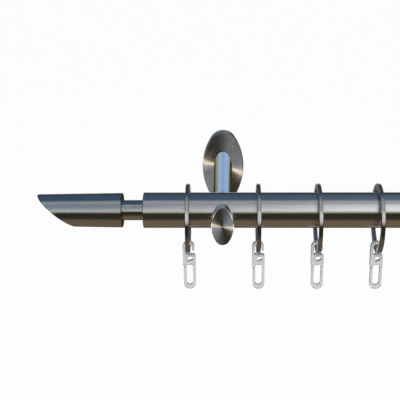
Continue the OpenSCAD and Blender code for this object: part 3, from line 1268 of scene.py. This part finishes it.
# What arms and rims mirror, by the way that they face: 0 up, 90 to the right
ARM_STRIPES = (
    (-180.0, Tone.SHADE),
    (-80.0, Tone.SHADE),
    (-72.0, Tone.UMBER),
    (-64.0, Tone.OLIVE),
    (-56.0, Tone.STONE),
    (-44.0, Tone.SKY_EDGE),
    (-16.0, Tone.SKY_EDGE),
    (0.0, Tone.DEEP_SKY),
    (14.0, Tone.SKY),
    (46.0, Tone.SKY_EDGE),
    (60.0, Tone.HAZE),
    (70.0, Tone.SHADE),
    (180.0, Tone.SHADE),
)
RIM_STRIPES = (
    (-180.0, Tone.MOSS),
    (-90.0, Tone.WARM),
    (-60.0, Tone.STONE),
    (-35.0, Tone.STEEL),
    (2.0, Tone.STEEL),
    (12.0, Tone.SHADE),
    (80.0, Tone.SHADE),
    (100.0, Tone.MOSS),
    (180.0, Tone.MOSS),
)


@dataclass(frozen=True)
class Lamp:
    """One soft square lamp that mirrors don't show."""

    name: str
    place: Triple
    aim: Triple
    # Width of the lamp in metres, and its power in watts
    size: float
    power: float

    def build(self) -> None:
        """Hangs the lamp and turns it to the point that it faces."""
        light = bpy.data.lights.new(self.name, "AREA")
        light.size = self.size
        light.energy = self.power
        lamp = put(self.name, light)
        lamp.location = self.place
        aim = Vector(self.aim) - Vector(self.place)
        lamp.rotation_euler = aim.to_track_quat("-Z", "Y").to_euler()
        lamp.visible_glossy = False


@dataclass
class Studio:
    """The plain pale floor, soft lamps, white surroundings and the domes that the metal mirrors."""

    floor_z: float = -1.35
    floor_reach: float = 60.0
    floor_tone: Triple = (0.93, 0.93, 0.93)
    # How far the floor's own white takes the place of its shade where it is seen
    floor_glow: float = 0.96
    # Brightness of the surroundings for matt surfaces
    matt_fill: float = 0.45

    def build(self, turned: tuple[bpy.types.Object, ...], rings: tuple[bpy.types.Object, ...]) -> None:
        """Builds everything round the object.

        Args:
            turned: The rosette and the end cap of each bracket, in that order.
            rings: The sliding rings.
        """
        self._world()
        self._floor()
        arms = tuple(NODES[f"arm_{side}"] for side in SIDES)
        others = tuple(node for name, node in sorted(NODES.items()) if node not in arms)
        rosettes, caps = turned[::2], turned[1::2]
        # Each dome lies round the one before it, and only the last one hides what is behind it
        for dome in (
            TurnedDome("cap_dome", 11.6, caps, bands=RIM_STRIPES, fan=CAP_STRIPES, bevel_light=1.9),
            TurnedDome("rosette_dome", 12.0, rosettes, bands=RIM_STRIPES, fan=ROSETTE_STRIPES),
            ArmDome("arm_dome", 12.4, arms, bands=ARM_STRIPES),
            RodDome("ring_dome", 12.8, rings, stripes=RING_STRIPES),
            RodDome(
                "rod_dome", 13.2, others, clear=False, stripes=ROD_STRIPES, window=0.8, sky=0.13, cool=0.8
            ),
        ):
            dome.build()
            LOG.info("%s hung", dome.name)
        for lamp in (
            Lamp("front_softbox", (-0.5, -1.6, 1.3), (-0.1, -0.05, 0.0), size=1.8, power=26.0),
            Lamp("fill_softbox", (1.3, -1.2, 0.7), (0.1, -0.05, 0.0), size=1.4, power=10.0),
            Lamp("top_softbox", (0.0, 0.3, 1.7), (0.0, -0.05, 0.0), size=1.6, power=10.0),
        ):
            lamp.build()

    def _world(self) -> None:
        """Makes the surroundings white, with a soft fill for matt surfaces."""
        world = bpy.data.worlds.new("white_surroundings")
        bpy.context.scene.world = world
        world.use_nodes = True
        graph = Graph(world.node_tree)
        white = {"Color": (*WHITE, 1.0), "Strength": self._seen(graph, self.matt_fill)}
        back = graph.add("ShaderNodeBackground", white)
        graph.add("ShaderNodeOutputWorld", {"Surface": back.outputs[0]})

    def _seen(self, graph: Graph, matt_share: float) -> Socket:
        """Gives 1 for a ray of sight, mirror or glass, and less for a matt bounce.

        Args:
            graph: The graph of a material or world.
            matt_share: The value for a matt bounce.

        Returns:
            The socket with that value.
        """
        path = graph.add("ShaderNodeLightPath")
        seen = graph.math("MAXIMUM", path.outputs["Is Camera Ray"], path.outputs["Is Glossy Ray"])
        seen = graph.math("MAXIMUM", seen, path.outputs["Is Transmission Ray"])
        matt = graph.math("MULTIPLY", path.outputs["Is Diffuse Ray"], matt_share)
        return graph.math("MAXIMUM", seen, matt)

    def _floor(self) -> None:
        """Lays the plain pale floor far below the rod."""
        work = bmesh.new()
        bmesh.ops.create_grid(work, x_segments=2, y_segments=2, size=self.floor_reach)
        mesh = bake("floor", work)
        floor = put("floor", mesh)
        floor.location.z = self.floor_z
        material, graph = new_material("pale_floor")
        matt = graph.add("ShaderNodeBsdfDiffuse", {"Color": (*self.floor_tone, 1.0)})
        glow = graph.add("ShaderNodeEmission", {"Color": (*WHITE, 1.0)})
        share = graph.math("MULTIPLY", self._seen(graph, 0.0), self.floor_glow)
        mix = graph.add("ShaderNodeMixShader", {0: share, 1: matt.outputs[0], 2: glow.outputs[0]})
        graph.add("ShaderNodeOutputMaterial", {"Surface": mix.outputs[0]})
        mesh.materials.append(material)
        floor.visible_glossy = False


@dataclass
class PhotoCamera:
    """The camera at the photograph's place."""

    place: Triple = (-0.25371, -0.58138, 0.19130)
    turned_left: float = math.radians(1.695)
    looking_down: float = math.radians(20.32)
    rolled: float = math.radians(-0.625)
    # Focal length and sensor width in mm, and the least distance in metres at which it sees
    lens: float = 84.17
    sensor: float = 36.0
    nearest: float = 0.01

    def build(self) -> None:
        """Sets the camera up and makes it the scene's own."""
        sin_turn, cos_turn = math.sin(self.turned_left), math.cos(self.turned_left)
        sin_down, cos_down = math.sin(self.looking_down), math.cos(self.looking_down)
        ahead = Vector((-sin_turn * cos_down, cos_turn * cos_down, -sin_down))
        right = Vector((cos_turn, sin_turn, 0.0))
        above = right.cross(ahead)
        roll_right = math.cos(self.rolled) * right + math.sin(self.rolled) * above
        roll_above = math.cos(self.rolled) * above - math.sin(self.rolled) * right
        data = bpy.data.cameras.new("photo_camera")
        data.lens = self.lens
        data.sensor_width = self.sensor
        data.clip_start = self.nearest
        camera = put("photo_camera", data)
        turn = Matrix((roll_right, roll_above, -ahead)).transposed().to_4x4()
        camera.matrix_world = Matrix.Translation(self.place) @ turn
        bpy.context.scene.camera = camera


def main() -> None:
    """Finishes each sub-assembly in order, then builds the studio and the camera round them."""
    logging.basicConfig(level=logging.INFO, format="%(message)s")
    bpy.context.scene.view_settings.view_transform = "Standard"
    effects = Effects.build()
    Rod(effects).finish()
    shown = [piece for side in SIDES for piece in Bracket(effects, side).finish()]
    Screws(effects).finish()
    rings = Rings(effects).finish()
    CurtainHooks(effects).finish()
    Studio().build(tuple(shown), rings)
    PhotoCamera().build()


if __name__ == "__main__":
    main()
